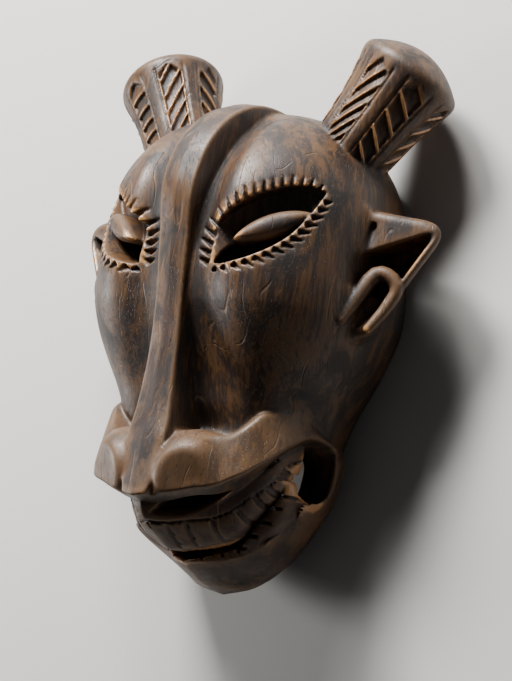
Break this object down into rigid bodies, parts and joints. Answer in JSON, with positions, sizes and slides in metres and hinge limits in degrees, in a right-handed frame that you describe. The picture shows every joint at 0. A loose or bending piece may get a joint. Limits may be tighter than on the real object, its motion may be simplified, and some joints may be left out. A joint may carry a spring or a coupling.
{
  "type": "carved mask",
  "caption": "Carved wooden buffalo face mask with flared horns, cupped ears, bared teeth and a raised nose ridge; hollow at the back to be worn or hung.",
  "frame": {"origin": "centre of the bounding box, on the plane of the flat back rim", "axes": "+Z out of the face, +Y from the chin to the horns, +X to the right as seen from the front; the mask lies face up on its rim"},
  "size_m": [0.3282, 0.4244, 0.1664],
  "materials": {
    "carved_wood": "dark glossy patina, rubbed lighter along ridges and rims"
  },
  "bodies": {
    "root": {"buffalo_mask": "carved_wood"}
  },
  "joints": []
}
